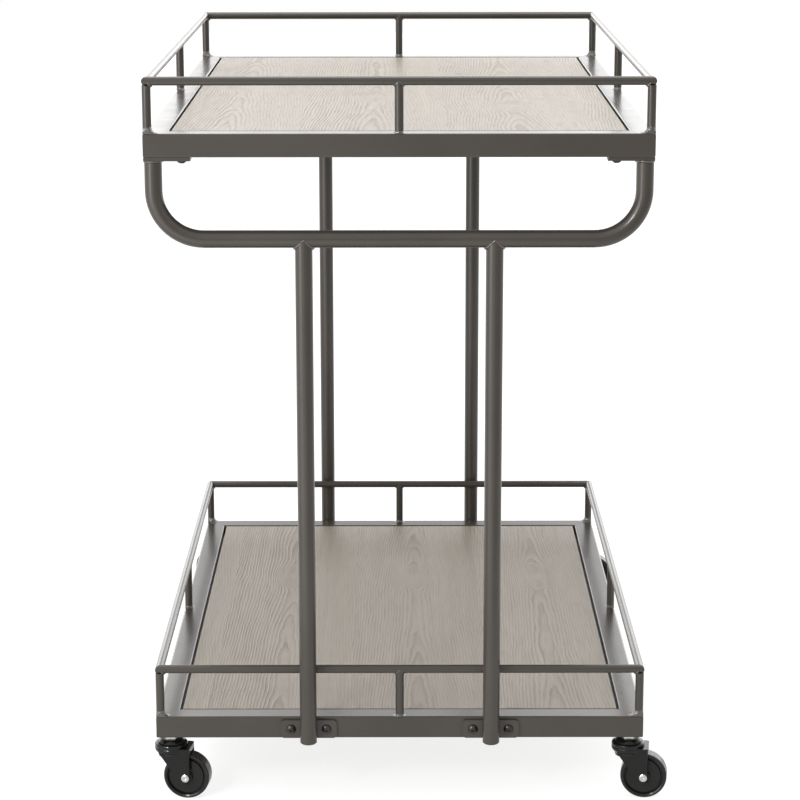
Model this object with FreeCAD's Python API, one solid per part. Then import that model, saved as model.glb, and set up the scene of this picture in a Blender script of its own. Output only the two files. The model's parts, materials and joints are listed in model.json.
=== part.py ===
"""Two-tier bar cart on swivel casters: welded steel trays and end yokes, wood shelf panels.

Frame: +Z up, origin on the floor under the middle of the cart, X across the cart (the short
way) and Y along it. "Front" is the -Y end, "left" is -X. All lengths are in millimetres.
"""
import FreeCAD, Part
import math
import os

os.makedirs("parts", exist_ok=True)

V = FreeCAD.Vector
X_AXIS = V(1, 0, 0)
Y_AXIS = V(0, 1, 0)
Z_AXIS = V(0, 0, 1)
ORIGIN = V(0, 0, 0)

# Driving dimensions of the whole cart
UPPER_WIDTH = 516.0
UPPER_LENGTH = 806.0
UPPER_TOP = 723.5
LOWER_WIDTH = 522.0
CASTER_HEIGHT = 70.5

# Tray frames: square tube, mitred at the corners
FRAME_TUBE = 24.0
FRAME_TUBE_CORNER = 1.8
TUBE_WALL = 1.2

# Gallery rails around both trays: round rod
ROD_RADIUS = 4.5
RAIL_RISE = 52.5

# Shelf panels and the flat bars that carry them
PANEL_THICKNESS = 9.0
PANEL_SIDE_GAP = 3.0
PANEL_FRONT_GAP = 1.2
PANEL_BACK_GAP = 4.0
PANEL_EDGE_ROUND = 0.6
CROSSBAR_WIDTH = 20.0
CROSSBAR_THICKNESS = 3.0
CROSSBAR_SPREAD = 0.34
LEDGE_WIDTH = 12.0
PANEL_SCREW_INSET = 60.0
PANEL_SCREW_RADIUS = 1.75
PANEL_SCREW_DEPTH = 7.0
PANEL_SCREW_HEAD_RADIUS = 3.6
PANEL_SCREW_HEAD_HEIGHT = 2.2

# End yokes: one U of round tube under each end of the upper tray, two legs below it
YOKE_RADIUS = 9.0
YOKE_DROP = 85.0
YOKE_BEND_RADIUS = 50.0
LEG_SPACING = 194.8
LEG_FOOT_RISE = 1.0
COPE_TRIM = 2.0
YOKE_PLATE_LENGTH = 47.5
YOKE_PLATE_WIDTH = 20.0
YOKE_PLATE_THICKNESS = 4.0
YOKE_SCREW_INSET = 9.5
END_CAP_THICKNESS = 2.0
END_CAP_PLUG_LENGTH = 12.0

# Brackets that bolt the legs to the ends of the lower tray
BRACKET_WIDTH = 60.0
BRACKET_HEIGHT = 20.0
BRACKET_THICKNESS = 3.0
BRACKET_CORNER = 4.0
BRACKET_SCREW_SPACING = 38.0

# M6 button-head screws and their rivet nuts
SCREW_RADIUS = 3.0
SCREW_HEAD_RADIUS = 5.2
SCREW_HEAD_HEIGHT = 3.2
SCREW_LENGTH = 14.0
SCREW_HOLE_RADIUS = 3.3
SOCKET_ACROSS_FLATS = 4.0
SOCKET_DEPTH = 1.8
RIVET_NUT_RADIUS = 4.5
RIVET_NUT_BULGE_RADIUS = 6.0
RIVET_NUT_BULGE_LENGTH = 3.0
RIVET_NUT_LENGTH = 12.0
THREAD_GAP = 0.05

# Casters: 50 mm wheel, pressed fork with a ball race, threaded stem
WHEEL_RADIUS = 25.0
WHEEL_WIDTH = 18.0
WHEEL_SHOULDER = 2.5
WHEEL_RIM_HALF_WIDTH = 8.2
WHEEL_WEB_HALF_WIDTH = 6.8
WHEEL_GROOVE_INNER_RADIUS = 19.0
WHEEL_GROOVE_OUTER_RADIUS = 20.4
WHEEL_GROOVE_HALF_WIDTH = 4.8
HUB_RADIUS = 7.5
HUB_HALF_WIDTH = 10.8
CASTER_INSET = 14.5
CASTER_TRAIL = 17.5
AXLE_RADIUS = 3.0
AXLE_HEAD_RADIUS = 4.2
AXLE_HEAD_HEIGHT = 1.4
RUNNING_GAP = 0.06
FORK_SHEET = 2.5
FORK_GAP_HALF = 11.5
FORK_END_RADIUS = 6.5
FORK_BACK = 4.8
FORK_FRONT = -11.0
HOOD_HEIGHT = 5.5
HOOD_CORNER = 3.0
CROWN_RADIUS = 17.8
CROWN_BOTTOM = 52.0
CROWN_TOP = 61.5
CROWN_WALL = 2.2
CROWN_LIP = 2.0
CROWN_FOOT = 1.5
CROWN_RIBS = 2
CROWN_GROOVE = 0.6
SKIRT_DROP = 5.0
KINGPIN_RADIUS = 6.0
KINGPIN_HEAD_RADIUS = 7.0
KINGPIN_HEAD_HEIGHT = 1.5
RACE_RADIUS = 11.2
BALL_RADIUS = 1.9
BALL_COUNT = 12
BALL_CIRCLE_RADIUS = 13.4
PART_GAP = 0.3
DUST_CAP_RADIUS = 14.6
DUST_CAP_TOP_RADIUS = 11.0
DUST_CAP_HEIGHT = 4.4
STUD_RADIUS = 5.0
STUD_HEX = 17.0
STUD_LENGTH = 12.0
WELD_NUT_HEX = 17.0
WELD_NUT_HEIGHT = 8.0
STUD_HOLE_RADIUS = 5.5

# Which way each caster trails when the cart stands still, in degrees from +X
CASTER_ANGLES = {
    "front_left": -8.0,
    "front_right": -8.0,
    "back_right": -8.0,
    "back_left": 130.0,
}

# Worked out from the dimensions above
YOKE_Y = UPPER_LENGTH / 2 - FRAME_TUBE / 2
YOKE_X = UPPER_WIDTH / 2 - YOKE_RADIUS
UPPER_BOTTOM = UPPER_TOP - FRAME_TUBE
YOKE_Z = UPPER_BOTTOM - YOKE_DROP
YOKE_TOP = UPPER_BOTTOM - YOKE_PLATE_THICKNESS
BRACKET_OUTER_Y = YOKE_Y - YOKE_RADIUS
LOWER_LENGTH = 2 * (BRACKET_OUTER_Y - BRACKET_THICKNESS)
LOWER_BOTTOM = CASTER_HEIGHT
LOWER_TOP = LOWER_BOTTOM + FRAME_TUBE
LEG_X = LEG_SPACING / 2
LEG_BOTTOM = LOWER_BOTTOM + LEG_FOOT_RISE
BRACKET_BOTTOM = LOWER_BOTTOM + LEG_FOOT_RISE
BRACKET_SCREW_Z = BRACKET_BOTTOM + BRACKET_HEIGHT / 2
CASTER_X = LOWER_WIDTH / 2 - CASTER_INSET
CASTER_Y = LOWER_LENGTH / 2 - CASTER_INSET

# The sides of a tray: a turn about Z from the front, and whether the side runs along the length
SIDES = {"front": (0, False), "right": (90, True), "back": (180, False), "left": (270, True)}


class Tray:
    """The outside sizes of one tray and the height of its top face."""

    def __init__(self, name, width, length, top):
        self.name = name
        self.width = width
        self.length = length
        self.top = top
        self.rail_z = top + RAIL_RISE

    def run_and_reach(self, along_length):
        """Half the length of a side, and how far that side is from the middle."""
        if along_length:
            return self.length / 2, self.width / 2
        return self.width / 2, self.length / 2


UPPER = Tray("upper", UPPER_WIDTH, UPPER_LENGTH, UPPER_TOP)
LOWER = Tray("lower", LOWER_WIDTH, LOWER_LENGTH, LOWER_TOP)


def save(name, *solids):
    """Write the solids of one sub-part to parts/NAME.step."""
    shape = solids[0] if len(solids) == 1 else Part.makeCompound(list(solids))
    shape.exportStep("parts/" + name + ".step")


def cylinder(base, axis, radius, length):
    return Part.makeCylinder(radius, length, base, axis)


def box(low, high):
    size = high - low
    return Part.makeBox(size.x, size.y, size.z, low)


def turned(shape, degrees):
    """A copy turned about the vertical axis through the origin."""
    copy = shape.copy()
    copy.rotate(ORIGIN, Z_AXIS, degrees)
    return copy


def moved(shape, offset):
    copy = shape.copy()
    copy.translate(offset)
    return copy


def mirrored_y(shape):
    return shape.mirror(ORIGIN, Y_AXIS)


def hexagon(centre, axis, across_flats, height):
    """A hexagonal prism that stands on centre and runs along axis."""
    corner_radius = across_flats / math.sqrt(3)
    points = []
    for i in range(7):
        angle = math.radians(60 * i)
        points.append(V(corner_radius * math.cos(angle), corner_radius * math.sin(angle), 0))
    prism = Part.Face(Part.makePolygon(points)).extrude(V(0, 0, height))
    prism.Placement = FreeCAD.Placement(centre, FreeCAD.Rotation(Z_AXIS, axis))
    return prism


def revolved(profile, base, axis):
    """Turn a closed profile of (radius, height) points a full circle about an axis at base."""
    points = [V(r, 0, h) for r, h in profile]
    face = Part.Face(Part.makePolygon(points + points[:1]))
    solid = face.revolve(ORIGIN, Z_AXIS, 360)
    solid.Placement = FreeCAD.Placement(base, FreeCAD.Rotation(Z_AXIS, axis))
    return solid


def rounded_rectangle(width, height, radius):
    """A face in the XY plane, centred on the origin, with rounded corners."""
    w = width / 2
    h = height / 2
    edges = []
    corners = [(w, -h, -90), (w, h, 0), (-w, h, 90), (-w, -h, 180)]
    previous_end = None
    first_start = None
    for x, y, start_angle in corners:
        centre = V(x - math.copysign(radius, x), y - math.copysign(radius, y), 0)
        points = []
        for step in (0, 45, 90):
            angle = math.radians(start_angle + step)
            points.append(centre + V(radius * math.cos(angle), radius * math.sin(angle), 0))
        if previous_end is not None:
            edges.append(Part.makeLine(previous_end, points[0]))
        edges.append(Part.Arc(*points).toShape())
        previous_end = points[2]
        first_start = first_start or points[0]
    edges.append(Part.makeLine(previous_end, first_start))
    return Part.Face(Part.Wire(edges))


def mitre_wedge(half_run, reach, size, low, high):
    """The space of one front bar between the 45 degree planes through the tray's corners."""
    over = size
    outer_x = half_run + over
    inner_x = half_run - size - over
    outer_y = -reach - over
    inner_y = -reach + size + over
    points = [V(-outer_x, outer_y, low), V(outer_x, outer_y, low),
              V(inner_x, inner_y, low), V(-inner_x, inner_y, low)]
    face = Part.Face(Part.makePolygon(points + points[:1]))
    return face.extrude(V(0, 0, high - low))


def mitred_bar(bar, tray, side, size, low, high):
    """Cut a bar made at the front of a tray to its mitres and turn it to its side."""
    degrees, along_length = SIDES[side]
    half_run, reach = tray.run_and_reach(along_length)
    wedge = mitre_wedge(half_run, reach, size, low, high)
    return turned(bar.common(wedge), degrees)


def frame_tube(tray, side):
    """One side of a tray: hollow square tube, mitred at both ends."""
    half_run, reach = tray.run_and_reach(SIDES[side][1])
    outer = rounded_rectangle(FRAME_TUBE, FRAME_TUBE, FRAME_TUBE_CORNER)
    hole_size = FRAME_TUBE - 2 * TUBE_WALL
    hole = rounded_rectangle(hole_size, hole_size, FRAME_TUBE_CORNER - TUBE_WALL)
    section = outer.cut(hole)
    section.rotate(ORIGIN, Y_AXIS, 90)
    start = V(-half_run - FRAME_TUBE, -reach + FRAME_TUBE / 2, tray.top - FRAME_TUBE / 2)
    section.translate(start)
    bar = section.extrude(V(2 * half_run + 2 * FRAME_TUBE, 0, 0))
    return mitred_bar(bar, tray, side, FRAME_TUBE, tray.top - 2 * FRAME_TUBE, tray.top + FRAME_TUBE)


def rail_rod(tray, side):
    """The full, unmitred rod of one rail, made at the front of the tray."""
    half_run, reach = tray.run_and_reach(SIDES[side][1])
    start = V(-half_run - 2 * ROD_RADIUS, -reach + ROD_RADIUS, tray.rail_z)
    return cylinder(start, X_AXIS, ROD_RADIUS, 2 * half_run + 4 * ROD_RADIUS)


def rail(tray, side):
    """One side of the gallery ring: round rod, mitred at both ends."""
    low = tray.rail_z - 2 * ROD_RADIUS
    high = tray.rail_z + 2 * ROD_RADIUS
    return mitred_bar(rail_rod(tray, side), tray, side, 2 * ROD_RADIUS, low, high)


def rail_posts(tray):
    """Eight posts: one in each corner and one in the middle of each side, coped to the rails."""
    x = tray.width / 2 - ROD_RADIUS
    y = tray.length / 2 - ROD_RADIUS
    rods = [turned(rail_rod(tray, side), SIDES[side][0]) for side in SIDES]
    places = [(-x, -y), (0, -y), (x, -y), (x, 0), (x, y), (0, y), (-x, y), (-x, 0)]
    height = RAIL_RISE - COPE_TRIM / 2
    posts = []
    for px, py in places:
        post = cylinder(V(px, py, tray.top), Z_AXIS, ROD_RADIUS, height)
        posts.append(post.cut(rods[0]).cut(rods[1]).cut(rods[2]).cut(rods[3]))
    return posts


def crossbar_positions(tray):
    reach = CROSSBAR_SPREAD * tray.length
    return [-reach, 0.0, reach]


def panel_screw_places(tray):
    x = tray.width / 2 - FRAME_TUBE - PANEL_SCREW_INSET
    return [(side * x, y) for y in crossbar_positions(tray) for side in (-1, 1)]


def shelf_panel(tray):
    """The wood panel, flush with the top of its frame, with pilot holes from below."""
    side_x = tray.width / 2 - FRAME_TUBE - PANEL_SIDE_GAP
    front_y = -tray.length / 2 + FRAME_TUBE + PANEL_FRONT_GAP
    back_y = tray.length / 2 - FRAME_TUBE - PANEL_BACK_GAP
    bottom = tray.top - PANEL_THICKNESS
    panel = box(V(-side_x, front_y, bottom), V(side_x, back_y, tray.top))
    top_edges = [edge for edge in panel.Edges
                 if min(vertex.Point.z for vertex in edge.Vertexes) > tray.top - PANEL_EDGE_ROUND]
    panel = panel.makeFillet(PANEL_EDGE_ROUND, top_edges)
    for x, y in panel_screw_places(tray):
        panel = panel.cut(cylinder(V(x, y, bottom), Z_AXIS, PANEL_SCREW_RADIUS, PANEL_SCREW_DEPTH))
    return panel


def ledges(tray):
    """Flat bars along the side tubes, which carry the panel's long edges and close its gaps."""
    outer_x = tray.width / 2 - FRAME_TUBE
    inner_x = outer_x - LEDGE_WIDTH
    half_length = tray.length / 2 - FRAME_TUBE
    top = tray.top - PANEL_THICKNESS
    bottom = top - CROSSBAR_THICKNESS
    right = box(V(inner_x, -half_length, bottom), V(outer_x, half_length, top))
    left = box(V(-outer_x, -half_length, bottom), V(-inner_x, half_length, top))
    return [left, right]


def crossbars(tray):
    """Flat bars between the ledges, under the panel, drilled for its screws."""
    x = tray.width / 2 - FRAME_TUBE - LEDGE_WIDTH
    top = tray.top - PANEL_THICKNESS
    bottom = top - CROSSBAR_THICKNESS
    bars = []
    for y in crossbar_positions(tray):
        bar = box(V(-x, y - CROSSBAR_WIDTH / 2, bottom), V(x, y + CROSSBAR_WIDTH / 2, top))
        for hole_x, hole_y in panel_screw_places(tray):
            if hole_y == y:
                hole = cylinder(V(hole_x, y, bottom), Z_AXIS, PANEL_SCREW_RADIUS, CROSSBAR_THICKNESS)
                bar = bar.cut(hole)
        bars.append(bar)
    return bars


def panel_screws(tray):
    """Pan-head wood screws up through the crossbars into the panel."""
    head_top = tray.top - PANEL_THICKNESS - CROSSBAR_THICKNESS
    length = CROSSBAR_THICKNESS + PANEL_SCREW_DEPTH
    profile = [(0, -PANEL_SCREW_HEAD_HEIGHT), (PANEL_SCREW_HEAD_RADIUS * 0.6, -PANEL_SCREW_HEAD_HEIGHT),
               (PANEL_SCREW_HEAD_RADIUS, -PANEL_SCREW_HEAD_HEIGHT * 0.4), (PANEL_SCREW_HEAD_RADIUS, 0),
               (PANEL_SCREW_RADIUS, 0), (PANEL_SCREW_RADIUS, length - PANEL_SCREW_RADIUS), (0, length)]
    return [revolved(profile, V(x, y, head_top), Z_AXIS) for x, y in panel_screw_places(tray)]


def yoke_path():
    """The centre line of the front yoke: down, round, across, round and up."""
    bend = YOKE_BEND_RADIUS
    diagonal = bend * (1 - math.sqrt(0.5))
    y = -YOKE_Y
    left_top = V(-YOKE_X, y, YOKE_TOP)
    left_bend_start = V(-YOKE_X, y, YOKE_Z + bend)
    left_bend_middle = V(-YOKE_X + diagonal, y, YOKE_Z + diagonal)
    left_bend_end = V(-YOKE_X + bend, y, YOKE_Z)
    right_bend_start = V(YOKE_X - bend, y, YOKE_Z)
    right_bend_middle = V(YOKE_X - diagonal, y, YOKE_Z + diagonal)
    right_bend_end = V(YOKE_X, y, YOKE_Z + bend)
    right_top = V(YOKE_X, y, YOKE_TOP)
    return Part.Wire([
        Part.makeLine(left_top, left_bend_start),
        Part.Arc(left_bend_start, left_bend_middle, left_bend_end).toShape(),
        Part.makeLine(left_bend_end, right_bend_start),
        Part.Arc(right_bend_start, right_bend_middle, right_bend_end).toShape(),
        Part.makeLine(right_bend_end, right_top),
    ])


def swept_along_yoke(radius):
    circle = Part.makeCircle(radius, V(-YOKE_X, -YOKE_Y, YOKE_TOP), Z_AXIS)
    return yoke_path().makePipeShell([Part.Wire([circle])], True, False)


def yoke_tube():
    """The front yoke: round tube bent to a U, open ends up."""
    return swept_along_yoke(YOKE_RADIUS).cut(swept_along_yoke(YOKE_RADIUS - TUBE_WALL))


def yoke_screw_x():
    return UPPER_WIDTH / 2 - YOKE_PLATE_LENGTH + YOKE_SCREW_INSET


def yoke_plates():
    """Flat plates welded across the top of the front yoke's two ends."""
    plates = []
    for side in (-1, 1):
        outer = side * UPPER_WIDTH / 2
        inner = side * (UPPER_WIDTH / 2 - YOKE_PLATE_LENGTH)
        low = V(min(outer, inner), -YOKE_Y - YOKE_PLATE_WIDTH / 2, YOKE_TOP)
        high = V(max(outer, inner), -YOKE_Y + YOKE_PLATE_WIDTH / 2, UPPER_BOTTOM)
        hole = cylinder(V(side * yoke_screw_x(), -YOKE_Y, YOKE_TOP), Z_AXIS,
                        SCREW_HOLE_RADIUS, YOKE_PLATE_THICKNESS)
        plates.append(box(low, high).cut(hole))
    return plates


def leg(x):
    """A front leg: round tube, coped to the underside of the yoke."""
    base = V(x, -YOKE_Y, LEG_BOTTOM)
    height = YOKE_Z - COPE_TRIM - LEG_BOTTOM
    tube = cylinder(base, Z_AXIS, YOKE_RADIUS, height)
    tube = tube.cut(cylinder(base, Z_AXIS, YOKE_RADIUS - TUBE_WALL, height))
    yoke = cylinder(V(x - 2 * YOKE_RADIUS, -YOKE_Y, YOKE_Z), X_AXIS, YOKE_RADIUS, 4 * YOKE_RADIUS)
    return tube.cut(yoke)


def end_cap(x):
    """A push-in plug that closes the foot of a front leg."""
    plug_radius = YOKE_RADIUS - TUBE_WALL - THREAD_GAP
    chamfer = END_CAP_THICKNESS * 0.6
    profile = [(0, -END_CAP_THICKNESS), (YOKE_RADIUS - chamfer, -END_CAP_THICKNESS),
               (YOKE_RADIUS, chamfer - END_CAP_THICKNESS), (YOKE_RADIUS, 0), (plug_radius, 0),
               (plug_radius, END_CAP_PLUG_LENGTH), (0, END_CAP_PLUG_LENGTH)]
    return revolved(profile, V(x, -YOKE_Y, LEG_BOTTOM), Z_AXIS)


def bracket(x):
    """The flat plate behind the foot of a front leg, with its two screw holes."""
    plate = rounded_rectangle(BRACKET_WIDTH, BRACKET_HEIGHT, BRACKET_CORNER)
    plate.rotate(ORIGIN, X_AXIS, 90)
    plate.translate(V(x, -BRACKET_OUTER_Y + BRACKET_THICKNESS, BRACKET_SCREW_Z))
    plate = plate.extrude(V(0, -BRACKET_THICKNESS, 0))
    for hole_x in bracket_screw_xs(x):
        start = V(hole_x, -BRACKET_OUTER_Y, BRACKET_SCREW_Z)
        plate = plate.cut(cylinder(start, Y_AXIS, SCREW_HOLE_RADIUS, BRACKET_THICKNESS))
    return plate


def bracket_screw_xs(x):
    return [x - BRACKET_SCREW_SPACING / 2, x + BRACKET_SCREW_SPACING / 2]


def machine_screw(base, axis):
    """An M6 button-head screw whose head sits on base; axis points from head to tip."""
    crown = SCREW_HEAD_HEIGHT
    profile = [(0, -crown), (SCREW_HEAD_RADIUS * 0.5, -crown),
               (SCREW_HEAD_RADIUS * 0.85, -crown * 0.6), (SCREW_HEAD_RADIUS, -crown * 0.15),
               (SCREW_HEAD_RADIUS, 0), (SCREW_RADIUS, 0),
               (SCREW_RADIUS, SCREW_LENGTH - 1), (SCREW_RADIUS - 1, SCREW_LENGTH), (0, SCREW_LENGTH)]
    screw = revolved(profile, base, axis)
    head_top = base - axis * crown
    return screw.cut(hexagon(head_top, axis, SOCKET_ACROSS_FLATS, SOCKET_DEPTH))


def rivet_nut(base, axis):
    """A flush rivet nut: sleeve through the wall and the bulge that grips it from behind."""
    bore = SCREW_RADIUS + THREAD_GAP
    bulge_end = TUBE_WALL + RIVET_NUT_BULGE_LENGTH
    profile = [(bore, 0), (RIVET_NUT_RADIUS, 0), (RIVET_NUT_RADIUS, TUBE_WALL),
               (RIVET_NUT_BULGE_RADIUS, TUBE_WALL), (RIVET_NUT_RADIUS, bulge_end),
               (RIVET_NUT_RADIUS, RIVET_NUT_LENGTH), (bore, RIVET_NUT_LENGTH)]
    return revolved(profile, base, axis)


def wheel_side(sign):
    """The points of one face of the wheel, from the bore out to the shoulder of the tread."""
    web = sign * WHEEL_WEB_HALF_WIDTH
    groove = sign * WHEEL_GROOVE_HALF_WIDTH
    slope = 0.6
    return [V(AXLE_RADIUS + RUNNING_GAP, 0, sign * HUB_HALF_WIDTH),
            V(HUB_RADIUS - 1, 0, sign * HUB_HALF_WIDTH),
            V(HUB_RADIUS, 0, web + sign),
            V(HUB_RADIUS + 1.5, 0, web),
            V(WHEEL_GROOVE_INNER_RADIUS - slope, 0, web),
            V(WHEEL_GROOVE_INNER_RADIUS, 0, groove),
            V(WHEEL_GROOVE_OUTER_RADIUS, 0, groove),
            V(WHEEL_GROOVE_OUTER_RADIUS + slope, 0, sign * WHEEL_RIM_HALF_WIDTH),
            V(WHEEL_RADIUS - WHEEL_SHOULDER, 0, sign * WHEEL_WIDTH / 2)]


def shoulder_arc(sign):
    """The rounded corner between one face of the wheel and its tread."""
    centre_radius = WHEEL_RADIUS - WHEEL_SHOULDER
    centre_height = WHEEL_WIDTH / 2 - WHEEL_SHOULDER
    diagonal = WHEEL_SHOULDER * math.sqrt(0.5)
    face_end = V(centre_radius, 0, sign * WHEEL_WIDTH / 2)
    middle = V(centre_radius + diagonal, 0, sign * (centre_height + diagonal))
    tread_end = V(WHEEL_RADIUS, 0, sign * centre_height)
    return Part.Arc(face_end, middle, tread_end).toShape()


def wheel():
    """One-piece wheel: flat tread, rim, ring groove, web and long hub, turned about Y."""
    top = wheel_side(1)
    bottom = wheel_side(-1)
    tread_half = WHEEL_WIDTH / 2 - WHEEL_SHOULDER
    edges = [Part.makeLine(a, b) for a, b in zip(top, top[1:])]
    edges += [Part.makeLine(a, b) for a, b in zip(bottom, bottom[1:])]
    edges.append(shoulder_arc(1))
    edges.append(shoulder_arc(-1))
    edges.append(Part.makeLine(V(WHEEL_RADIUS, 0, tread_half), V(WHEEL_RADIUS, 0, -tread_half)))
    edges.append(Part.makeLine(bottom[0], top[0]))
    solid = Part.Face(Part.Wire(Part.__sortEdges__(edges))).revolve(ORIGIN, Z_AXIS, 360)
    solid.rotate(ORIGIN, X_AXIS, 90)
    solid.translate(V(CASTER_TRAIL, 0, WHEEL_RADIUS))
    return solid


def axle():
    """The rivet that carries the wheel: shank and two heads with a rolled-in centre."""
    half = FORK_GAP_HALF + FORK_SHEET
    tip = half + AXLE_HEAD_HEIGHT
    head = AXLE_HEAD_RADIUS
    dimple = head * 0.45
    profile = [(0, -tip + 0.6), (dimple, -tip), (head * 0.8, -tip), (head, -tip + 0.5), (head, -half),
               (AXLE_RADIUS, -half), (AXLE_RADIUS, half), (head, half), (head, tip - 0.5),
               (head * 0.8, tip), (dimple, tip), (0, tip - 0.6)]
    return revolved(profile, V(CASTER_TRAIL, 0, WHEEL_RADIUS), Y_AXIS)


def fork_leg():
    """One side of the fork, from the crown's floor down to a round end about the axle."""
    radius = FORK_END_RADIUS
    back_x = CASTER_TRAIL + FORK_BACK
    centre_x = back_x - radius
    top = CROWN_BOTTOM + FORK_SHEET
    to_front = V(FORK_FRONT - centre_x, 0, CROWN_BOTTOM - WHEEL_RADIUS)
    tangent_angle = math.atan2(to_front.z, to_front.x) + math.acos(radius / to_front.Length)

    def on_round(angle):
        return V(centre_x + radius * math.cos(angle), FORK_GAP_HALF,
                 WHEEL_RADIUS + radius * math.sin(angle))

    front_top = V(FORK_FRONT, FORK_GAP_HALF, top)
    front_knee = V(FORK_FRONT, FORK_GAP_HALF, CROWN_BOTTOM)
    back_top = V(back_x, FORK_GAP_HALF, top)
    back_low = on_round(0)
    front_low = on_round(tangent_angle)
    middle = on_round((tangent_angle - 2 * math.pi) / 2)
    outline = Part.Wire([Part.makeLine(front_top, back_top), Part.makeLine(back_top, back_low),
                         Part.Arc(back_low, middle, front_low).toShape(),
                         Part.makeLine(front_low, front_knee),
                         Part.makeLine(front_knee, front_top)])
    return Part.Face(outline).extrude(V(0, FORK_SHEET, 0))


def crown():
    """The round top of the fork: floor, ribbed wall and inward lip round the ball race."""
    web_top = CROWN_BOTTOM + FORK_SHEET
    bore = KINGPIN_RADIUS + RUNNING_GAP
    wall_inner = CROWN_RADIUS - CROWN_WALL
    lip_bottom = CROWN_TOP - CROWN_LIP
    lip_inner = RACE_RADIUS + PART_GAP
    wall_bottom = CROWN_BOTTOM + CROWN_FOOT
    rib_height = (CROWN_TOP - wall_bottom) / CROWN_RIBS
    valley = CROWN_RADIUS - CROWN_GROOVE
    profile = [(bore, CROWN_BOTTOM), (FORK_GAP_HALF + FORK_SHEET, CROWN_BOTTOM),
               (valley, wall_bottom - 0.6)]
    for rib in range(CROWN_RIBS):
        low = wall_bottom + rib * rib_height
        profile += [(CROWN_RADIUS, low + 0.25 * rib_height), (CROWN_RADIUS, low + 0.65 * rib_height),
                    (valley, low + 0.9 * rib_height)]
    profile += [(valley - 1, CROWN_TOP), (lip_inner, CROWN_TOP), (lip_inner, lip_bottom),
                (wall_inner, lip_bottom), (wall_inner, web_top), (bore, web_top)]
    return revolved(profile, ORIGIN, Z_AXIS)


def skirt():
    """The curved apron under the crown's wall: round its front and down onto the two legs."""
    outer_y = FORK_GAP_HALF + FORK_SHEET
    top = CROWN_BOTTOM + CROWN_FOOT - 0.6
    low = CROWN_BOTTOM - SKIRT_DROP
    overhang = CROWN_RADIUS - CROWN_GROOVE - outer_y
    height = top - low
    profile = [(FORK_GAP_HALF, low), (outer_y, low),
               (outer_y + 0.15 * overhang, low + 0.4 * height),
               (outer_y + 0.45 * overhang, low + 0.7 * height), (outer_y + overhang, top),
               (FORK_GAP_HALF + FORK_SHEET / 2, top), (FORK_GAP_HALF, CROWN_BOTTOM)]
    ring = revolved(profile, ORIGIN, Z_AXIS)
    over_wheel = box(V(0, -FORK_GAP_HALF, low), V(CROWN_RADIUS, FORK_GAP_HALF, CROWN_TOP))
    return ring.cut(over_wheel)


def fork_plan(back_x, half_width, corner, low, high):
    """An upright block with the fork's outline seen from above, round at its back corners."""
    outline = rounded_rectangle(2 * back_x, 2 * half_width, corner)
    outline.translate(V(0, 0, low))
    block = outline.extrude(V(0, 0, high - low))
    front = box(V(-back_x, -half_width, low), V(FORK_FRONT, half_width, high))
    return block.cut(front)


def hood():
    """The folded sheet behind the crown, which joins the two legs over the wheel."""
    back_x = CASTER_TRAIL + FORK_BACK
    outer_y = FORK_GAP_HALF + FORK_SHEET
    top = CROWN_BOTTOM + HOOD_HEIGHT
    shell = fork_plan(back_x, outer_y, HOOD_CORNER, CROWN_BOTTOM, top)
    shell = shell.cut(fork_plan(back_x - FORK_SHEET, FORK_GAP_HALF, HOOD_CORNER / 2,
                                CROWN_BOTTOM, top - FORK_SHEET))
    return shell.cut(cylinder(V(0, 0, CROWN_BOTTOM), Z_AXIS, CROWN_RADIUS - 1.2, HOOD_HEIGHT))


def fork():
    """Pressed fork, one piece: crown with its ball race, hood and two legs."""
    back_x = CASTER_TRAIL + FORK_BACK
    outer_y = FORK_GAP_HALF + FORK_SHEET
    leg_plate = fork_leg()
    plan = fork_plan(back_x, outer_y, HOOD_CORNER, 0, CROWN_TOP)
    legs = leg_plate.fuse(mirrored_y(leg_plate)).common(plan)
    body = crown().fuse([skirt(), hood(), legs]).removeSplitter()
    bore = cylinder(V(CASTER_TRAIL, -outer_y, WHEEL_RADIUS), Y_AXIS, AXLE_RADIUS, 2 * outer_y)
    return body.cut(bore)


def stem():
    """Fixed kingpin: rivet head, inner race, hexagon under the tray and threaded stud."""
    web_top = CROWN_BOTTOM + FORK_SHEET
    head_top = CROWN_BOTTOM - PART_GAP
    head_bottom = head_top - KINGPIN_HEAD_HEIGHT
    race_bottom = web_top + PART_GAP
    race_top = CROWN_TOP - CROWN_LIP - PART_GAP
    hex_bottom = dust_cap_top()
    stud_top = CASTER_HEIGHT + STUD_LENGTH
    profile = [(0, head_bottom), (KINGPIN_HEAD_RADIUS, head_bottom), (KINGPIN_HEAD_RADIUS, head_top),
               (KINGPIN_RADIUS, head_top), (KINGPIN_RADIUS, race_bottom), (RACE_RADIUS, race_bottom),
               (RACE_RADIUS, race_top), (KINGPIN_RADIUS, race_top), (KINGPIN_RADIUS, hex_bottom),
               (STUD_RADIUS, hex_bottom), (STUD_RADIUS, stud_top - 1), (STUD_RADIUS - 1, stud_top),
               (0, stud_top)]
    pin = revolved(profile, ORIGIN, Z_AXIS)
    nut = hexagon(V(0, 0, hex_bottom), Z_AXIS, STUD_HEX, CASTER_HEIGHT - hex_bottom)
    return pin.fuse(nut).removeSplitter()


def dust_cap_top():
    return CROWN_TOP + PART_GAP + DUST_CAP_HEIGHT


def dust_cap():
    """The cone that covers the top of the ball race, held under the stem's hexagon."""
    low = CROWN_TOP + PART_GAP
    high = dust_cap_top()
    profile = [(KINGPIN_RADIUS, low), (DUST_CAP_RADIUS, low), (DUST_CAP_RADIUS, low + 1),
               (DUST_CAP_TOP_RADIUS, high), (KINGPIN_RADIUS, high)]
    return revolved(profile, ORIGIN, Z_AXIS)


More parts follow.
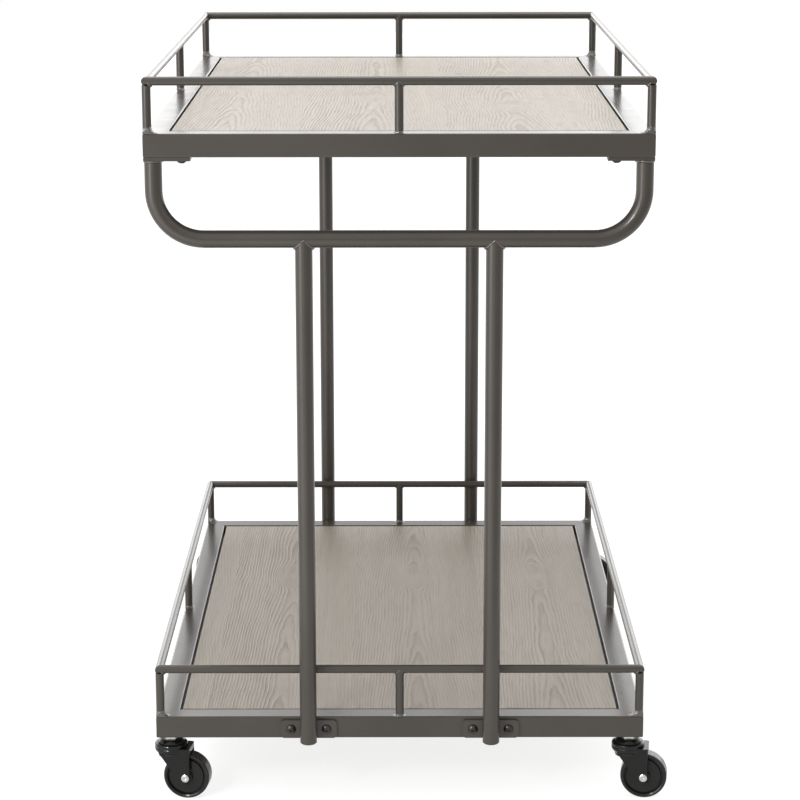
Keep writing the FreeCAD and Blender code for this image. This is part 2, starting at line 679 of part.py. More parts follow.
def bearing_balls():
    web_top = CROWN_BOTTOM + FORK_SHEET
    z = (web_top + CROWN_TOP - CROWN_LIP) / 2
    balls = []
    for i in range(BALL_COUNT):
        angle = 2 * math.pi * i / BALL_COUNT
        centre = V(BALL_CIRCLE_RADIUS * math.cos(angle), BALL_CIRCLE_RADIUS * math.sin(angle), z)
        balls.append(Part.makeSphere(BALL_RADIUS, centre))
    return balls


def weld_nut():
    """The nut welded inside the corner of the lower tray, over the hole for the stud."""
    bottom = LOWER_BOTTOM + TUBE_WALL
    nut = hexagon(V(0, 0, bottom), Z_AXIS, WELD_NUT_HEX, WELD_NUT_HEIGHT)
    return nut.cut(cylinder(V(0, 0, bottom), Z_AXIS, STUD_RADIUS + THREAD_GAP, WELD_NUT_HEIGHT))


def caster_place(corner):
    """The point on the floor under a caster's swivel axis."""
    x = -CASTER_X if corner.endswith("left") else CASTER_X
    y = -CASTER_Y if corner.startswith("front") else CASTER_Y
    return V(x, y, 0)


def drilled_frame_tube(tray, side):
    """A frame tube with the holes for the stems, the brackets and the yoke plates."""
    tube = frame_tube(tray, side)
    if tray is LOWER:
        for corner in CASTER_ANGLES:
            start = caster_place(corner) + V(0, 0, LOWER_BOTTOM)
            tube = tube.cut(cylinder(start, Z_AXIS, STUD_HOLE_RADIUS, TUBE_WALL))
    if side in ("left", "right"):
        return tube
    outward = -1 if side == "front" else 1
    if tray is LOWER:
        for x in bracket_screw_xs(-LEG_X) + bracket_screw_xs(LEG_X):
            start = V(x, outward * LOWER_LENGTH / 2, BRACKET_SCREW_Z)
            tube = tube.cut(cylinder(start, V(0, -outward, 0), RIVET_NUT_RADIUS, TUBE_WALL))
    else:
        for x in (-yoke_screw_x(), yoke_screw_x()):
            start = V(x, outward * YOKE_Y, UPPER_BOTTOM)
            tube = tube.cut(cylinder(start, Z_AXIS, RIVET_NUT_RADIUS, TUBE_WALL))
    return tube


def save_tray(tray):
    for side in SIDES:
        save(tray.name + "_" + side + "_tube", drilled_frame_tube(tray, side))
        save(tray.name + "_" + side + "_rail", rail(tray, side))
    save(tray.name + "_shelf_panel", shelf_panel(tray))
    save(tray.name + "_shelf_bars", *ledges(tray), *crossbars(tray))
    save(tray.name + "_rail_posts", *rail_posts(tray))


def at_both_ends(solids):
    """The solids of the front end, and the same ones at the back end."""
    return solids + [turned(solid, 180) for solid in solids]


def save_yokes():
    front_tube = yoke_tube()
    front_plates = yoke_plates()
    save("front_yoke_tube", front_tube)
    save("back_yoke_tube", mirrored_y(front_tube))
    save("front_yoke_plates", *front_plates)
    save("back_yoke_plates", *[mirrored_y(plate) for plate in front_plates])
    for side, x in (("left", -LEG_X), ("right", LEG_X)):
        front_leg = leg(x)
        front_bracket = bracket(x)
        save("front_" + side + "_leg", front_leg)
        save("back_" + side + "_leg", mirrored_y(front_leg))
        save("front_" + side + "_bracket", front_bracket)
        save("back_" + side + "_bracket", mirrored_y(front_bracket))
    save("leg_end_caps", *at_both_ends([end_cap(-LEG_X), end_cap(LEG_X)]))


def save_fasteners():
    inward = V(0, 1, 0)
    screws = []
    nuts = []
    for x in bracket_screw_xs(-LEG_X) + bracket_screw_xs(LEG_X):
        screws.append(machine_screw(V(x, -BRACKET_OUTER_Y, BRACKET_SCREW_Z), inward))
        nuts.append(rivet_nut(V(x, -LOWER_LENGTH / 2, BRACKET_SCREW_Z), inward))
    save("bracket_screws", *at_both_ends(screws))
    save("bracket_rivet_nuts", *at_both_ends(nuts))
    screws = []
    nuts = []
    for x in (-yoke_screw_x(), yoke_screw_x()):
        screws.append(machine_screw(V(x, -YOKE_Y, YOKE_TOP), Z_AXIS))
        nuts.append(rivet_nut(V(x, -YOKE_Y, UPPER_BOTTOM), Z_AXIS))
    save("yoke_screws", *at_both_ends(screws))
    save("yoke_rivet_nuts", *at_both_ends(nuts))
    save("panel_screws", *(panel_screws(UPPER) + panel_screws(LOWER)))


def save_casters():
    caps = []
    balls = []
    nuts = []
    for corner, angle in CASTER_ANGLES.items():
        place = caster_place(corner)
        save(corner + "_stem", moved(stem(), place))
        save(corner + "_fork", moved(turned(fork(), angle), place))
        save(corner + "_axle", moved(turned(axle(), angle), place))
        save(corner + "_wheel", moved(turned(wheel(), angle), place))
        caps.append(moved(dust_cap(), place))
        nuts.append(moved(weld_nut(), place))
        balls += [moved(ball, place) for ball in bearing_balls()]
    save("swivel_dust_caps", *caps)
    save("swivel_bearing_balls", *balls)
    save("caster_weld_nuts", *nuts)


save_tray(UPPER)
save_tray(LOWER)
save_yokes()
save_fasteners()
save_casters()
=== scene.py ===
"""The looks of the two-tier bar cart: materials, weld beads, floor, lights and camera.

Everything is in metres in the frame of the CAD model: +Z up, the front end at -Y, the origin on
the floor under the middle of the cart.
"""

import json
import math
import random

import bmesh
import bpy
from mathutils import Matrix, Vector


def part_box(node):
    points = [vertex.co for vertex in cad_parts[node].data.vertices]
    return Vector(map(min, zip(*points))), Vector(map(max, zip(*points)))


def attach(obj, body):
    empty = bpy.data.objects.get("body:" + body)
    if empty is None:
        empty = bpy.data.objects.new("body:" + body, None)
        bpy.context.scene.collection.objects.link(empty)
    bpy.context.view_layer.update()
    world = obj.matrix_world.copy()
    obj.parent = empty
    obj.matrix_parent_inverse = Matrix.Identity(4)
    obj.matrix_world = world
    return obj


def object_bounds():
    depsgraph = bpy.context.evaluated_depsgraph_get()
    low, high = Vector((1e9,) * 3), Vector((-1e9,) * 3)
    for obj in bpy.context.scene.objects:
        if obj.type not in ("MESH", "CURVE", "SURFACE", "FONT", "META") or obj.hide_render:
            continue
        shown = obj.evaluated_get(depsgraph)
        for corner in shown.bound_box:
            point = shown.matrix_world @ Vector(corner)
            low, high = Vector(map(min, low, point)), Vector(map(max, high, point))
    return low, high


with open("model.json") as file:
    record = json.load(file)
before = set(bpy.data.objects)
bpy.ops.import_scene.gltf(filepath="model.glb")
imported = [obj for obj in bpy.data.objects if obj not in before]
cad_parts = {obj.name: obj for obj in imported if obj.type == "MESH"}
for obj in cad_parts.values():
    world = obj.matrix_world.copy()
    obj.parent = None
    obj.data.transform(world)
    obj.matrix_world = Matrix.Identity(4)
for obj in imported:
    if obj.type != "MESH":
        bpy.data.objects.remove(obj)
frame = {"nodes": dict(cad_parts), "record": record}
CAD_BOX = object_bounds()
NODES = frame["nodes"]
RECORD = frame["record"]
CORNERS = ("front_left", "front_right", "back_right", "back_left")
WHEEL_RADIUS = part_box("front_left_wheel")[1].z / 2
FULL_TURN = 2 * math.pi

# Camera: where it stands, how it is turned, and its lens
CAMERA_PLACE = Vector((0.0002, -2.9197, 1.0457))
CAMERA_DOWN_DEG = 13.344
CAMERA_ROLL_DEG = 0.054
CAMERA_TURN_DEG = -0.022
CAMERA_LENS_MM = 113.10
CAMERA_SENSOR_MM = 36.0

# Welds: the reach of the posts' fillets, the radius of the beads, the pitch of their ripples,
# and how deep the fillets' hidden edges lie
POST_WELD_CORNER = 0.0062
POST_WELD_MIDDLE = 0.0024
TUBE_WELD = 0.0022
BRACKET_WELD = 0.0018
WELD_RIPPLE = 0.0017
WELD_SUNK = 0.0006
# A bead's ripples start at a random phase from 0 to this many radians
WELD_PHASE_MAX = 6.28
# The upright beads beside each leg: how far out of the bracket's face, how far short of its
# edges, and how far from the leg's middle as a share of its radius
BRACKET_WELD_OUT = 0.0007
BRACKET_WELD_SHORT = 0.001
BRACKET_WELD_ASIDE = 0.62
# How far round a post's top each of the two corner beads reaches, in radians either way
CORNER_WELD_REACH = 1.2


# ---------------------------------------------------------------- node trees

class Nodes:
    """Short calls that build a node tree."""

    def __init__(self, tree, coordinates):
        self.tree = tree
        self.place = tree.nodes.new("ShaderNodeTexCoord").outputs[coordinates]

    def plug(self, socket, value):
        """Link an output to a socket, or set the socket to a plain value."""
        if isinstance(value, bpy.types.NodeSocket):
            self.tree.links.new(value, socket)
        else:
            socket.default_value = value

    def math(self, operation, first, second=0.0):
        """One sum of a math node."""
        node = self.tree.nodes.new("ShaderNodeMath")
        node.operation = operation
        self.plug(node.inputs[0], first)
        self.plug(node.inputs[1], second)
        return node.outputs[0]

    def scaled(self, vector, scale):
        """The vector multiplied by scale, axis by axis."""
        node = self.tree.nodes.new("ShaderNodeVectorMath")
        node.operation = "MULTIPLY"
        self.plug(node.inputs[0], vector)
        node.inputs[1].default_value = scale
        return node.outputs[0]

    def axes(self, vector):
        """The three parts of a vector."""
        node = self.tree.nodes.new("ShaderNodeSeparateXYZ")
        self.plug(node.inputs[0], vector)
        return node.outputs

    def noise(self, scale, detail=2.0, roughness=0.5, vector=None):
        """Noise from 0 to 1 with this many cells per metre."""
        node = self.tree.nodes.new("ShaderNodeTexNoise")
        self.plug(node.inputs["Vector"], vector or self.place)
        node.inputs["Scale"].default_value = scale
        node.inputs["Detail"].default_value = detail
        node.inputs["Roughness"].default_value = roughness
        return node.outputs["Fac"]

    def spread(self, value, low, high, new_low, new_high, curve="LINEAR"):
        """Map a value from one range to another, held at both ends."""
        node = self.tree.nodes.new("ShaderNodeMapRange")
        node.interpolation_type = curve
        self.plug(node.inputs["Value"], value)
        node.inputs["From Min"].default_value = low
        node.inputs["From Max"].default_value = high
        node.inputs["To Min"].default_value = new_low
        node.inputs["To Max"].default_value = new_high
        return node.outputs["Result"]

    def blend(self, share, first, second):
        """Mix two colours by a share from 0 to 1."""
        node = self.tree.nodes.new("ShaderNodeMix")
        node.data_type = "RGBA"
        self.plug(node.inputs["Factor"], share)
        # A mix node's sockets 6 and 7 are its two colours, and output 2 is the mixed one
        for socket, paint in ((node.inputs[6], first), (node.inputs[7], second)):
            self.plug(socket, paint if isinstance(paint, bpy.types.NodeSocket) else colour(paint))
        return node.outputs[2]

    def bump(self, height, distance, strength=1.0, before=None):
        """A normal from a height of 0 to 1, where 1 is this distance in metres."""
        node = self.tree.nodes.new("ShaderNodeBump")
        self.plug(node.inputs["Height"], height)
        node.inputs["Distance"].default_value = distance
        node.inputs["Strength"].default_value = strength
        if before is not None:
            self.plug(node.inputs["Normal"], before)
        return node.outputs["Normal"]


class Shader(Nodes):
    """A new material with a Principled shader, placed by object coordinates."""

    def __init__(self, name, **sockets):
        self.material = bpy.data.materials.new(name)
        self.material.use_nodes = True
        super().__init__(self.material.node_tree, "Object")
        self.surface = self.tree.nodes["Principled BSDF"]
        for socket, value in sockets.items():
            self.surface.inputs[socket.replace("_", " ")].default_value = value

    def use(self, **sockets):
        """Link outputs to the Principled shader's sockets."""
        for socket, value in sockets.items():
            self.plug(self.surface.inputs[socket.replace("_", " ")], value)


def colour(rgb):
    """A colour with full opacity."""
    return (rgb[0], rgb[1], rgb[2], 1.0)


# ---------------------------------------------------------------- materials

def powder_coat():
    """Warm dark grey semi-gloss powder coat on steel: orange peel and very fine flake."""
    s = Shader("gunmetal_powder_coat", Specular_IOR_Level=0.42)
    cloud = s.noise(14.0, 3.0)
    flake = s.noise(2600.0, 1.0)
    tone = s.blend(s.spread(cloud, 0.35, 0.65, 0, 1), (0.0310, 0.0262, 0.0213), (0.0360, 0.0306, 0.0251))
    speck = s.spread(flake, 0.62, 0.80, 0, 0.25)
    s.use(Base_Color=s.blend(speck, tone, (0.09, 0.084, 0.076)))
    s.use(Roughness=s.spread(s.noise(30.0, 1.0), 0.3, 0.7, 0.24, 0.265))
    peel = s.bump(s.noise(430.0, 2.0), 0.00003, 0.08)
    s.use(Normal=s.bump(s.noise(38.0, 1.0), 0.0002, 0.02, peel))
    return s.material


def weld_coat():
    """The same coat over weld beads: thicker and glossier, so that the beads glint, with a painted
    highlight that makes each lump's crown a lighter colour.
    """
    s = Shader("gunmetal_weld_coat", Specular_IOR_Level=1.0)
    lumps_and_painted_glint = s.noise(640.0, 2.0)
    # Painted highlight: the base colour is lighter where the lumps rise, so that they glint
    s.use(Base_Color=s.blend(lumps_and_painted_glint, (0.0300, 0.0255, 0.0208), (0.0420, 0.0362, 0.0300)))
    s.use(Roughness=s.spread(s.noise(260.0, 3.0), 0.3, 0.7, 0.12, 0.22))
    s.use(Normal=s.bump(lumps_and_painted_glint, 0.0010, 0.6))
    return s.material


def wood():
    """Greyed oak, embossed: close rings along the cart that swell round a knot in each plank."""
    s = Shader("greyed_oak", Specular_IOR_Level=0.24)
    plank = 0.1525
    ring_pitch = 0.0034
    heart_depth = 0.014
    taper = 0.030
    wander_reach = 0.026
    ripple_reach = 0.0044
    knot_radius = 0.020
    knot_squash = 0.62
    knot_swell = 0.022
    knot_y_lower = 0.124
    knot_y_upper = -0.070
    knot_step_upper = -0.094
    x, y, z = s.axes(s.place)[0:3]
    # 0 on the lower panel and 1 on the upper one, which shows another stretch of the figure
    tier = s.spread(z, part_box("lower_shelf_panel")[1].z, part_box("upper_shelf_panel")[0].z, 0, 1)
    across = s.math("ADD", s.math("DIVIDE", x, plank), s.spread(tier, 0, 1, -0.138, 0.180))
    index = s.math("FLOOR", s.math("ADD", across, 0.5))
    local = s.math("MULTIPLY", s.math("SUBTRACT", across, index), plank)
    wander = s.noise(1.0, 2.0, 0.5, s.scaled(s.place, (9.0, 2.6, 20.0)))
    ripple = s.noise(1.0, 3.0, 0.55, s.scaled(s.place, (60.0, 17.0, 20.0)))
    # Rings of a tapering trunk cut beside its heart
    heart = s.math("SQRT", s.math("ADD", s.math("MULTIPLY", local, local), heart_depth ** 2))
    rings = s.math("ADD", heart, s.math("MULTIPLY", y, taper))
    rings = s.math("ADD", rings, s.math("MULTIPLY", wander, wander_reach))
    rings = s.math("ADD", rings, s.math("MULTIPLY", ripple, ripple_reach))
    # The knots, level on the lower panel and stepped on the upper one
    step = s.math("MULTIPLY", s.math("MULTIPLY", index, tier), knot_step_upper)
    knot_y = s.math("ADD", s.spread(tier, 0, 1, knot_y_lower, knot_y_upper), step)
    knot_dy = s.math("MULTIPLY", s.math("SUBTRACT", y, knot_y), knot_squash)
    far = s.math("ADD", s.math("MULTIPLY", local, local), s.math("MULTIPLY", knot_dy, knot_dy))
    knot = s.math("EXPONENT", s.math("MULTIPLY", far, -1.0 / knot_radius ** 2))
    rings = s.math("SUBTRACT", rings, s.math("MULTIPLY", knot, knot_swell))
    phase = s.math("FRACT", s.math("DIVIDE", rings, ring_pitch))
    late = s.math("MULTIPLY", s.spread(phase, 0.30, 0.86, 0, 1), s.spread(phase, 0.90, 1.0, 1, 0))
    # Faint in places, in the knots' hearts and on one side of each plank
    worn = s.noise(1.0, 3.0, 0.6, s.scaled(s.place, (120.0, 15.0, 50.0)))
    late = s.math("MULTIPLY", late, s.spread(worn, 0.34, 0.60, 0.35, 1))
    late = s.math("MULTIPLY", late, s.spread(local, -0.010, 0.030, 1, 0.5))
    late = s.math("MULTIPLY", late, s.spread(knot, 0.80, 0.95, 1, 0.2))
    # Pores: short dark dashes along the grain
    pores = s.noise(1.0, 3.0, 0.6, s.scaled(s.place, (900.0, 26.0, 300.0)))
    pores = s.spread(pores, 0.50, 0.72, 0, 1)
    streak = s.noise(1.0, 3.0, 0.55, s.scaled(s.place, (85.0, 2.6, 30.0)))
    base = s.blend(s.spread(streak, 0.3, 0.7, 0, 1), (0.158, 0.132, 0.101), (0.190, 0.161, 0.124))
    base = s.blend(s.math("MULTIPLY", late, 0.55), base, (0.089, 0.071, 0.051))
    base = s.blend(s.math("MULTIPLY", pores, 0.26), base, (0.105, 0.085, 0.064))
    s.use(Base_Color=base)
    s.use(Roughness=s.spread(s.math("ADD", late, pores), 0.0, 1.6, 0.36, 0.52))
    relief = s.bump(late, 0.00030, 0.8)
    s.use(Normal=s.bump(pores, 0.00010, 0.5, relief))
    return s.material


def black_enamel():
    """Glossy black coat on pressed steel."""
    s = Shader("black_enamel", Specular_IOR_Level=0.17, Coat_Weight=0.15, Coat_Roughness=0.06)
    cloud = s.noise(60.0, 3.0)
    s.use(Base_Color=s.blend(cloud, (0.0030, 0.0028, 0.0026), (0.0060, 0.0056, 0.0052)))
    s.use(Roughness=s.spread(s.noise(140.0, 4.0), 0.3, 0.7, 0.14, 0.26))
    s.use(Normal=s.bump(s.noise(520.0, 2.0), 0.00003, 0.4))
    return s.material


def wheel_nylon(name, centre):
    """Black moulded nylon round its centre, polished, and painted lighter on the tread, both as a little
    dust and as a painted reflection of the bright room.
    """
    s = Shader(name, Specular_IOR_Level=0.20)
    x, y, z = s.axes(s.place)[0:3]
    dx = s.math("SUBTRACT", x, centre.x)
    dy = s.math("SUBTRACT", y, centre.y)
    dz = s.math("SUBTRACT", z, centre.z)
    flat = s.math("ADD", s.math("MULTIPLY", dx, dx), s.math("MULTIPLY", dy, dy))
    radius = s.math("SQRT", s.math("ADD", flat, s.math("MULTIPLY", dz, dz)))
    tread = s.spread(radius, WHEEL_RADIUS - 0.001, WHEEL_RADIUS, 0, 1)
    # The tread is painted lighter: partly dust, partly a painted reflection of the bright room; the dust
    # also roughens it
    dust_and_sheen = s.math("MULTIPLY", tread, s.spread(s.noise(420.0, 4.0), 0.35, 0.7, 0.1, 0.6))
    plain = s.blend(s.noise(90.0, 2.0), (0.007, 0.0065, 0.006), (0.011, 0.0105, 0.010))
    s.use(Base_Color=s.blend(dust_and_sheen, plain, (0.030, 0.029, 0.028)))
    s.use(Roughness=s.math("ADD", s.spread(s.noise(200.0, 3.0), 0.3, 0.7, 0.14, 0.22),
                           s.math("MULTIPLY", dust_and_sheen, 0.1)))
    s.use(Normal=s.bump(s.noise(900.0, 3.0), 0.00002, 0.4))
    return s.material


def zinc():
    """Bright zinc-plated steel, a little mottled."""
    s = Shader("bright_zinc", Metallic=1.0)
    cloud = s.noise(300.0, 3.0)
    s.use(Base_Color=s.blend(cloud, (0.40, 0.39, 0.375), (0.56, 0.55, 0.53)))
    s.use(Roughness=s.spread(s.noise(700.0, 3.0), 0.3, 0.7, 0.20, 0.38))
    s.use(Normal=s.bump(s.noise(1500.0, 2.0), 0.00002, 0.5))
    return s.material


def black_oxide():
    """Black screws: dark metal that catches the light on its edges."""
    s = Shader("black_oxide_steel", Metallic=0.75)
    s.use(Base_Color=s.blend(s.noise(500.0, 3.0), (0.022, 0.021, 0.020), (0.055, 0.052, 0.048)))
    s.use(Roughness=s.spread(s.noise(900.0, 3.0), 0.3, 0.7, 0.24, 0.42))
    s.use(Normal=s.bump(s.noise(1400.0, 2.0), 0.00003, 0.6))
    return s.material


def cap_plastic():
    """Matte dark plastic of the plugs in the legs' feet."""
    s = Shader("dark_cap_plastic", Specular_IOR_Level=0.4)
    s.use(Base_Color=s.blend(s.noise(200.0, 3.0), (0.022, 0.021, 0.020), (0.034, 0.032, 0.030)))
    s.use(Roughness=s.spread(s.noise(300.0, 3.0), 0.3, 0.7, 0.42, 0.56))
    s.use(Normal=s.bump(s.noise(1100.0, 3.0), 0.00004, 0.6))
    return s.material


def paint_nodes(coat):
    """Give every CAD node the material of its slot."""
    looks = {
        "tray_frame": coat,
        "gallery_rail": coat,
        "leg_frame": coat,
        "shelf_panel": wood(),
        "caster_fork": black_enamel(),
        "zinc_steel": zinc(),
        "screws": black_oxide(),
        "end_cap": cap_plastic(),
    }
    for corner in CORNERS:
        low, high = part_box(corner + "_wheel")
        NODES[corner + "_wheel"].data.materials[0] = wheel_nylon(corner + "_nylon", (low + high) / 2)
    for part in RECORD["subparts"]:
        if part["material_slot"] in looks:
            NODES[part["node"]].data.materials[0] = looks[part["material_slot"]]


# ---------------------------------------------------------------- welds

def piece_from(name, mesh, body, material):
    """Link a mesh as a piece that rides on a body."""
    mesh.polygons.foreach_set("use_smooth", [True] * len(mesh.polygons))
    mesh.materials.append(material)
    piece = bpy.data.objects.new(name, mesh)
    bpy.context.scene.collection.objects.link(piece)
    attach(piece, body)


class Welds:
    """Weld beads collected into one mesh, kept inside a box so that they end flush with it."""

    def __init__(self, low, high, seed):
        self.mesh = bmesh.new()
        self.low = low
        self.high = high
        self.random = random.Random(seed)

    def held(self, point):
        """The nearest point inside the box."""
        return Vector([min(max(p, a), b) for p, a, b in zip(point, self.low, self.high)])

    def skin(self, rings, closed):
        """Join rings of points into a closed tube or a loop."""
        made = [[self.mesh.verts.new(self.held(point)) for point in ring] for ring in rings]
        pairs = list(zip(made, made[1:]))
        if closed:
            pairs.append((made[-1], made[0]))
        for a, b in pairs:
            for i in range(len(a)):
                j = (i + 1) % len(a)
                self.mesh.faces.new((a[i], a[j], b[j], b[i]))
        if not closed:
            self.mesh.faces.new(made[0][::-1])
            self.mesh.faces.new(made[-1])

    def bead(self, path, radii, closed=False, sides=10):
        """A lumpy round bead along a path, with its own radius at each point."""
        rings = []
        travel = 0.0
        phase = self.random.uniform(0, WELD_PHASE_MAX)
        for i, point in enumerate(path):
            before = path[i - 1] if closed or i > 0 else path[0]
            after = path[(i + 1) % len(path)] if closed or i < len(path) - 1 else path[-1]
            along = (after - before).normalized()
            travel += (point - path[i - 1]).length if i else 0.0
            side = along.cross(Vector((0.31, 0.17, 0.93))).normalized()
            up = along.cross(side)
            swell = 1 + 0.10 * math.sin(FULL_TURN * travel / WELD_RIPPLE + phase)
            radius = radii[i] * swell * self.random.uniform(0.93, 1.07)
            ring = []
            for k in range(sides):
                angle = FULL_TURN * k / sides
                ring.append(point + radius * (side * math.cos(angle) + up * math.sin(angle)))
            rings.append(ring)
        self.skin(rings, closed)

    def fillet(self, centre, radius, size, steps=40):
        """A hollow fillet of weld round the foot of a vertical rod that stands on a face."""
        arc_steps = 6
        rings = []
        phase = self.random.uniform(0, WELD_PHASE_MAX)
        for i in range(steps):
            around = FULL_TURN * i / steps
            out = Vector((math.cos(around), math.sin(around), 0))
            lump = 1 + 0.13 * math.sin(9 * around + phase) + self.random.uniform(-0.08, 0.08)
            reach = size * lump
            ring = [centre + out * (radius - WELD_SUNK) - Vector((0, 0, WELD_SUNK))]
            for k in range(arc_steps + 1):
                bend = math.pi / 2 * k / arc_steps
                run = radius + reach * (1 - math.sin(bend))
                rise = reach * (1 - math.cos(bend))
                ring.append(centre + out * run + Vector((0, 0, rise)))
            ring.append(centre + out * (radius - WELD_SUNK) + Vector((0, 0, reach)))
            rings.append(ring)
        self.skin(rings, True)

    def saddle(self, centre, radius, along, size, start=0.0, end=FULL_TURN):
        """The bead where a vertical rod meets a level one of the same radius from below."""
        side = Vector((0, 0, 1)).cross(along)
        closed = end - start == FULL_TURN
        steps = 36
        path = []
        radii = []
        for i in range(steps if closed else steps + 1):
            angle = start + (end - start) * i / steps
            drop = -radius * abs(math.cos(angle))
            path.append(centre + along * radius * math.cos(angle) + side * radius * math.sin(angle)
                        + Vector((0, 0, drop)))
            radii.append(size * (0.25 + 0.75 * abs(math.cos(angle)) ** 2))
        self.bead(path, radii, closed)

    def done(self, name, material):
        """Turn the collected beads into one piece that rides on the cart's frame."""
        mesh = bpy.data.meshes.new(name)
        bmesh.ops.remove_doubles(self.mesh, verts=self.mesh.verts, dist=1e-6)
        bmesh.ops.recalc_face_normals(self.mesh, faces=self.mesh.faces)
        self.mesh.to_mesh(mesh)
        self.mesh.free()
        piece_from(name, mesh, "cart_frame", material)


def tray_welds(tray, seed, coat):
    """Welds of one tray's gallery: post feet, post tops and rail corners."""
    tube_low, tube_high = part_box(tray + "_front_tube")
    rail_low, rail_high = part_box(tray + "_front_rail")
    back_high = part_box(tray + "_back_tube")[1]
    radius = (rail_high.z - rail_low.z) / 2
    rail_z = (rail_high.z + rail_low.z) / 2
    x = tube_high.x - radius
    y = back_high.y - radius
    welds = Welds(tube_low, Vector((tube_high.x, back_high.y, rail_high.z)), seed)
    along_x = Vector((1, 0, 0))
    along_y = Vector((0, 1, 0))
    for sx, sy in ((-1, -1), (1, -1), (1, 1), (-1, 1)):
        foot = Vector((sx * x, sy * y, tube_high.z))
        top = Vector((sx * x, sy * y, rail_z))
        welds.fillet(foot, radius, POST_WELD_CORNER)
        for along in (-along_x * sx, -along_y * sy):
            welds.saddle(top, radius, along, TUBE_WELD * 0.8, -CORNER_WELD_REACH, CORNER_WELD_REACH)
    for place, along in (((0, -y), along_x), ((0, y), along_x), ((x, 0), along_y), ((-x, 0), along_y)):
        welds.fillet(Vector((place[0], place[1], tube_high.z)), radius, POST_WELD_MIDDLE)
        welds.saddle(Vector((place[0], place[1], rail_z)), radius, along, TUBE_WELD * 0.6)
    welds.done(tray + "_gallery_welds", coat)


def yoke_welds(end, seed, coat):
    """Welds of one end yoke: its plates, its two legs and the legs' brackets."""
    yoke_low, yoke_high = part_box(end + "_yoke_tube")
    plate_low, plate_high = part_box(end + "_yoke_plates")
    y = (yoke_low.y + yoke_high.y) / 2
    radius = (yoke_high.y - yoke_low.y) / 2
    ring_steps = 40
    upright_steps = 14
    low = Vector((plate_low.x, CAD_BOX[0].y, 0))
    high = Vector((plate_high.x, CAD_BOX[1].y, plate_low.z))
    welds = Welds(low, high, seed)
    for sx in (-1, 1):
        centre = Vector((sx * (yoke_high.x - radius), y, plate_low.z))
        path = []
        for i in range(ring_steps):
            angle = FULL_TURN * i / ring_steps
            path.append(centre + Vector((radius * math.cos(angle), radius * math.sin(angle), 0)))
        welds.bead(path, [TUBE_WELD] * ring_steps, True)
    for side in ("left", "right"):
        leg_low, leg_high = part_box(end + "_" + side + "_leg")
        leg_x = (leg_low.x + leg_high.x) / 2
        centre = Vector((leg_x, y, yoke_low.z + radius))
        welds.saddle(centre, radius, Vector((1, 0, 0)), TUBE_WELD)
        bracket_low, bracket_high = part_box(end + "_" + side + "_bracket")
        if end == "front":
            bead_y = bracket_low.y - BRACKET_WELD_OUT
        else:
            bead_y = bracket_high.y + BRACKET_WELD_OUT
        bottom = bracket_low.z + BRACKET_WELD_SHORT
        height = bracket_high.z - bracket_low.z - 2 * BRACKET_WELD_SHORT
        for sx in (-1, 1):
            path = []
            for i in range(upright_steps + 1):
                z = bottom + height * i / upright_steps
                path.append(Vector((leg_x + sx * radius * BRACKET_WELD_ASIDE, bead_y, z)))
            welds.bead(path, [BRACKET_WELD] * len(path))
    welds.done(end + "_yoke_welds", coat)


# ---------------------------------------------------------------- stage

def floor():
    """A wide pale studio floor that glows with painted light, which washes out the cart's shadows on it
    and lights its undersides.
    """
    s = Shader("pale_floor_painted_glow", Specular_IOR_Level=0.2, Emission_Strength=2.0)
    # A painted pool of light glowing in the floor in front of the cart, with painted shade towards the
    # right so that it is brighter on the left; the cart's front end mirrors it
    x, y = s.axes(s.place)[0:2]
    in_front = s.spread(y, -1.2, -0.6, 1, 0, "SMOOTHSTEP")
    pool = s.math("MULTIPLY", in_front, s.spread(y, -2.4, -1.2, 0.35, 1, "SMOOTHSTEP"))
    glow = s.blend(pool, (0.40, 0.40, 0.40), (1.0, 1.0, 1.0))
    shade = s.math("MULTIPLY", in_front, s.spread(x, -0.8, 0.8, 0, 0.95, "SMOOTHSTEP"))
    # The emission colour is the painted light: the pool, dimmed by the painted shade on the right
    s.use(Emission_Color=s.blend(shade, glow, (0.1, 0.1, 0.1)))
    s.use(Base_Color=s.blend(s.noise(3.0, 2.0), (0.215, 0.215, 0.213), (0.225, 0.225, 0.223)))
    s.use(Roughness=s.spread(s.noise(8.0, 3.0), 0.3, 0.7, 0.7, 0.8))
    mesh = bpy.data.meshes.new("studio_floor")
    reach = 9.0
    corners = [(-reach, -reach, 0), (reach, -reach, 0), (reach, reach, 0), (-reach, reach, 0)]
    mesh.from_pydata(corners, [], [(0, 1, 2, 3)])
    mesh.materials.append(s.material)
    plane = bpy.data.objects.new("studio_floor", mesh)
    bpy.context.scene.collection.objects.link(plane)


def softbox(name, place, target, size, power):
    """A rectangular light at place, aimed at target."""
    light = bpy.data.lights.new(name, "AREA")
    light.shape = "RECTANGLE"
    light.size = size[0]
    light.size_y = size[1]
    light.energy = power
    lamp = bpy.data.objects.new(name, light)
    lamp.location = place
    lamp.rotation_euler = (Vector(target) - Vector(place)).to_track_quat("-Z", "Y").to_euler()
    bpy.context.scene.collection.objects.link(lamp)


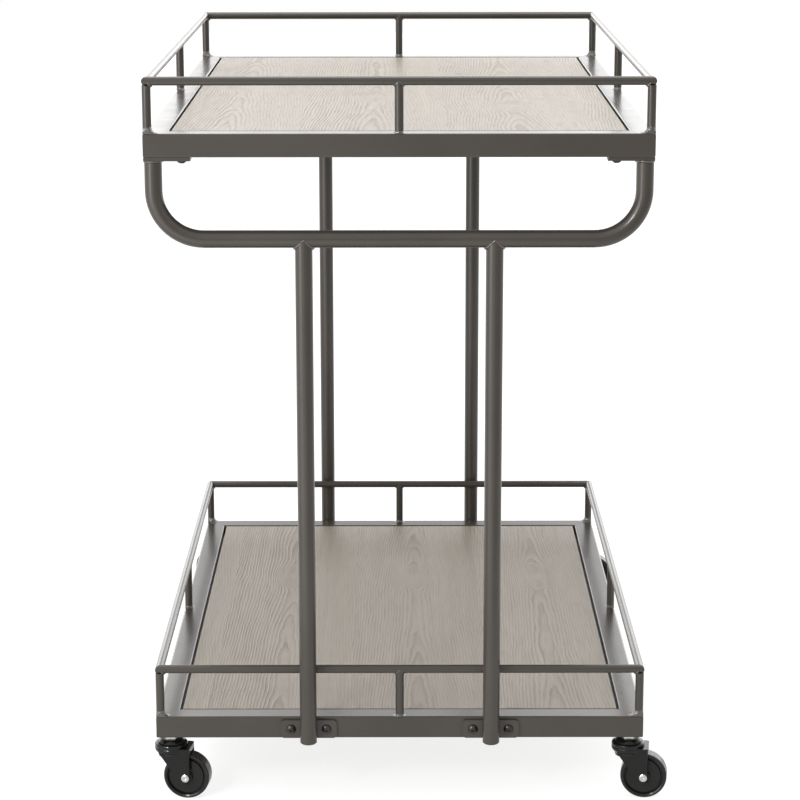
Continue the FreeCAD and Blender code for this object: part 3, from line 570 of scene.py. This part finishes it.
def studio_walls():
    """The bright room: a white sweep behind, a bright left side and a dim front."""
    world = bpy.data.worlds.new("studio")
    world.use_nodes = True
    s = Nodes(world.node_tree, "Generated")
    x, y, z = s.axes(s.place)[0:3]
    left = s.spread(x, -0.45, 0.05, 0.70, 0.0)
    right = s.spread(x, 0.45, 0.95, 0.0, 0.50)
    high = s.spread(z, -0.2, 0.7, 0.20, 1.15)
    room = s.math("ADD", s.math("ADD", left, right), high)
    front = s.spread(y, -0.15, 0.30, 1.0, 0.0)
    strength = s.math("ADD", 1.0, s.math("MULTIPLY", front, s.math("SUBTRACT", room, 1.0)))
    # The sweep behind is brightest low down on both sides
    aside = s.spread(s.math("ABSOLUTE", x), 0.06, 0.16, 0, 2.2)
    low = s.math("MULTIPLY", s.spread(z, -0.05, 0.05, 0, 1), s.spread(z, 0.35, 0.60, 1, 0))
    behind = s.math("MULTIPLY", low, s.spread(y, 0.3, 0.6, 0, 1))
    strength = s.math("ADD", strength, s.math("MULTIPLY", behind, aside))
    background = world.node_tree.nodes["Background"]
    background.inputs["Color"].default_value = (1.0, 1.0, 1.0, 1.0)
    s.plug(background.inputs["Strength"], strength)
    bpy.context.scene.world = world


def lights():
    """Four softboxes: above, behind, on the left, and a small one for glints."""
    softbox("overhead_softbox", (0.0, 0.20, 2.4), (0.0, 0.20, 0.4), (1.3, 1.4), 24.0)
    softbox("backdrop_glow", (0.0, 2.6, 1.7), (0.0, 0.0, 0.6), (3.6, 1.6), 18.0)
    softbox("left_softbox", (-1.75, -2.1, 0.95), (0.0, -0.1, 0.6), (1.0, 1.8), 25.0)
    # A small hard lamp whose glint shows only on bends, corners and weld beads
    softbox("glint_lamp", (-1.2, -2.26, 1.5), (0.0, -0.39, 0.6), (0.22, 0.50), 24.0)


def camera():
    """The camera at the photographed view."""
    data = bpy.data.cameras.new("photo_camera")
    data.lens = CAMERA_LENS_MM
    data.sensor_width = CAMERA_SENSOR_MM
    view = bpy.data.objects.new("photo_camera", data)
    view.location = CAMERA_PLACE
    turns = (90 - CAMERA_DOWN_DEG, CAMERA_ROLL_DEG, CAMERA_TURN_DEG)
    view.rotation_euler = [math.radians(turn) for turn in turns]
    bpy.context.scene.collection.objects.link(view)
    bpy.context.scene.camera = view


# ---------------------------------------------------------------- the scene

bpy.context.scene.view_settings.view_transform = "Standard"
paint_nodes(powder_coat())
bead_coat = weld_coat()
tray_welds("upper", 11, bead_coat)
tray_welds("lower", 12, bead_coat)
yoke_welds("front", 13, bead_coat)
yoke_welds("back", 14, bead_coat)
floor()
studio_walls()
lights()
camera()
